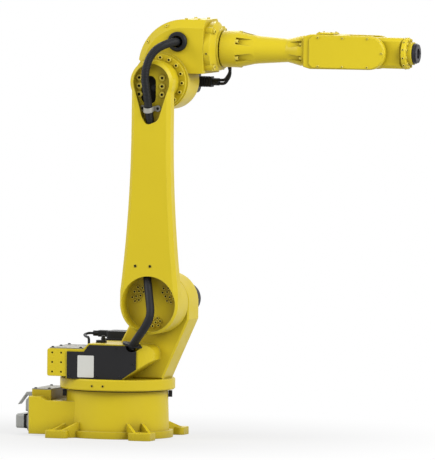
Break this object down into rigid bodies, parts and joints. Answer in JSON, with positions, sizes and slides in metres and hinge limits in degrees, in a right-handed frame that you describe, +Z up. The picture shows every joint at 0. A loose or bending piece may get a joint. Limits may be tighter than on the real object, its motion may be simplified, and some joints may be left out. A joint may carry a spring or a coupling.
{
  "type": "industrial robot arm",
  "caption": "Jointed floor-standing robot arm with a round pedestal, turntable, waisted lower arm, elbow casing, tapered forearm and a forked wrist that ends in a tool flange.",
  "frame": {"origin": "on the floor under the turntable axis, on the flat underside of the pedestal", "axes": "+X the way the arm reaches at rest, +Y to the robot's left, +Z up along the turntable axis"},
  "size_m": [1.625, 0.5402, 1.66],
  "materials": {
    "yellow_paint": "satin paint",
    "black_cover": "matt paint",
    "black_motor": "matt paint",
    "black_plug": "moulded",
    "black_rubber": "matt",
    "grey_plate": "satin paint",
    "connector_metal": "die cast",
    "clamp_metal": "die cast",
    "bearing_steel": "ground",
    "dark_flange": "blackened"
  },
  "bodies": {
    "base": {"base_pedestal": "yellow_paint", "slewing_ring": "bearing_steel", "connector_box_lid": "grey_plate", "connector_plate": "grey_plate", "lower_connector": "connector_metal", "lower_connector_cap": "connector_metal", "upper_connector": "connector_metal", "upper_connector_lever": "connector_metal", "front_stop": "black_cover", "rear_stop": "black_cover"},
    "turret": {"turret_casting": "yellow_paint", "cable_box_cover": "black_cover", "junction_box": "yellow_paint", "junction_box_lid": "grey_plate", "turntable_motor": "black_motor", "turntable_plug": "black_plug", "turntable_lead": "black_rubber", "shoulder_reducer": "yellow_paint", "shoulder_motor": "black_motor", "hose_gland": "black_rubber", "lower_hose": "black_rubber"},
    "lower_arm": {"lower_arm": "yellow_paint", "hose_clamp": "clamp_metal", "upper_hose": "black_rubber"},
    "elbow": {"elbow_casing": "yellow_paint", "elbow_ring": "yellow_paint", "elbow_nose": "yellow_paint", "hose_grommet": "black_rubber", "elbow_motor": "black_motor", "elbow_plug": "black_plug", "elbow_leads": "black_rubber", "elbow_gland": "black_plug"},
    "forearm": {"forearm_tube": "yellow_paint", "wrist_housing": "yellow_paint", "near_wrist_cover": "yellow_paint", "far_wrist_cover": "yellow_paint", "wrist_top_cover": "yellow_paint"},
    "wrist": {"wrist_block": "yellow_paint", "wrist_ring": "yellow_paint"},
    "tool_flange": {"tool_flange": "dark_flange"}
  },
  "joints": [
    {"name": "turntable_turn", "type": "hinge", "parent": "base", "child": "turret", "pos_m": [0, 0, 0.19], "axis": [0, 0, 1], "range_deg": [-170, 170]},
    {"name": "shoulder_swing", "type": "hinge", "parent": "turret", "child": "lower_arm", "pos_m": [0.201, 0, 0.54], "axis": [0, 1, 0], "range_deg": [-60, 80], "deforming": ["lower_hose"]},
    {"name": "elbow_swing", "type": "hinge", "parent": "lower_arm", "child": "elbow", "pos_m": [0.201, 0, 1.415], "axis": [0, -1, 0], "range_deg": [-80, 90], "deforming": ["upper_hose"]},
    {"name": "forearm_roll", "type": "hinge", "parent": "elbow", "child": "forearm", "pos_m": [0.423, 0, 1.545], "axis": [1, 0, 0], "range_deg": [-180, 180]},
    {"name": "wrist_bend", "type": "hinge", "parent": "forearm", "child": "wrist", "pos_m": [1.046, 0, 1.545], "axis": [0, 1, 0], "range_deg": [-115, 115]},
    {"name": "tool_turn", "type": "hinge", "parent": "wrist", "child": "tool_flange", "pos_m": [1.229, 0, 1.545], "axis": [1, 0, 0], "range_deg": [-360, 360]}
  ]
}
